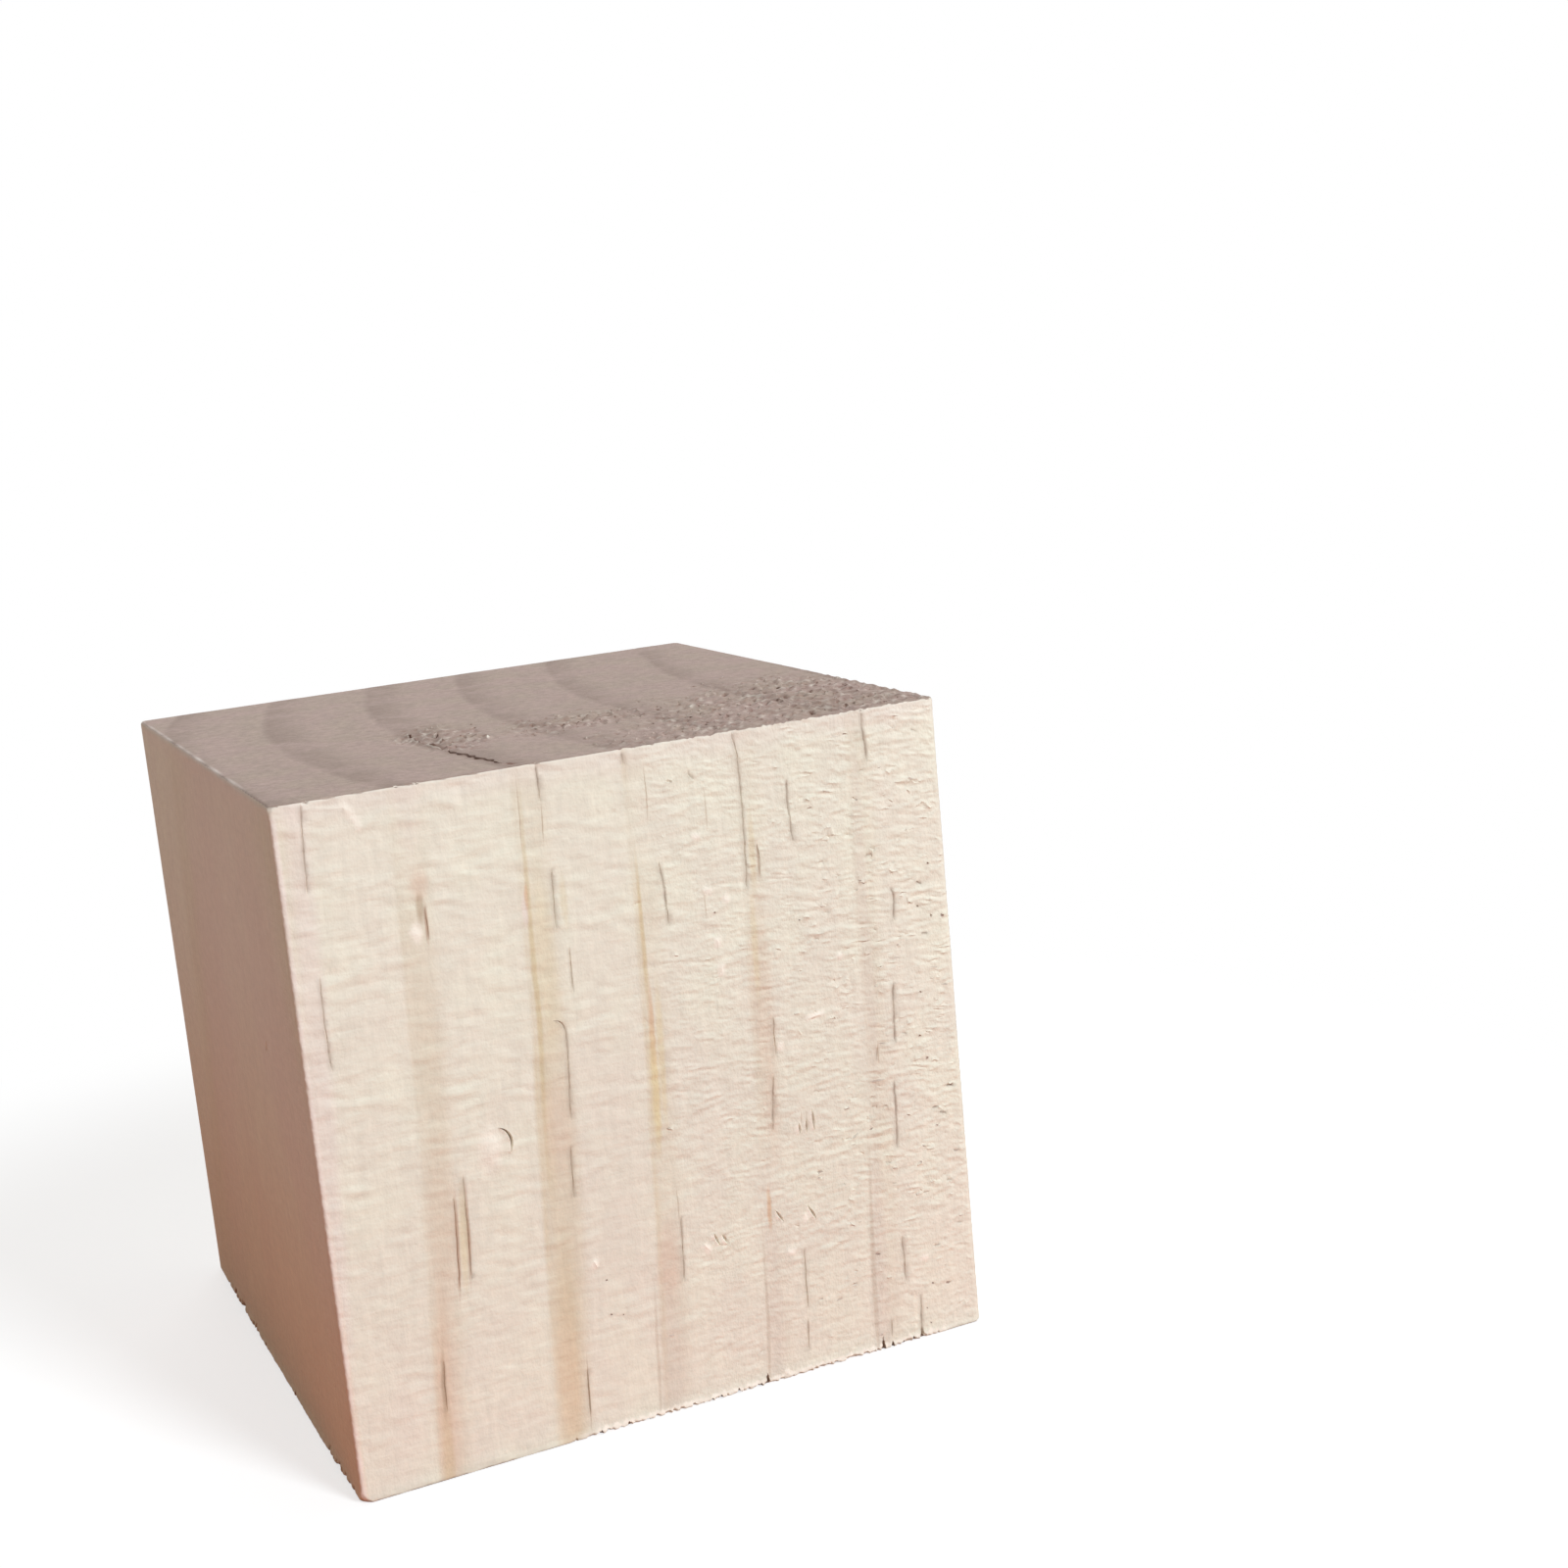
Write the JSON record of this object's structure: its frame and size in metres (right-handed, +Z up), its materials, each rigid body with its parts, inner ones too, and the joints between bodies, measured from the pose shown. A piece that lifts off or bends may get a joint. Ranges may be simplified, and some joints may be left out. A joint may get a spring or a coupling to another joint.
{
  "type": "wooden cube",
  "caption": "Solid softwood cube of 76 mm with lightly eased arrises, upright grain and a torn front foot arris.",
  "frame": {"origin": "middle of the underside, on the surface that the cube stands on", "axes": "+X to the right along the front face, +Y to the back, +Z up along the grain to the end-grain top; the front face with the checks and the crescent dent looks along -Y"},
  "size_m": [0.0762, 0.0762, 0.0762],
  "materials": {
    "pine": "bare sawn and lightly sanded softwood, matt"
  },
  "bodies": {
    "root": {"wooden_cube": "pine"}
  },
  "joints": []
}
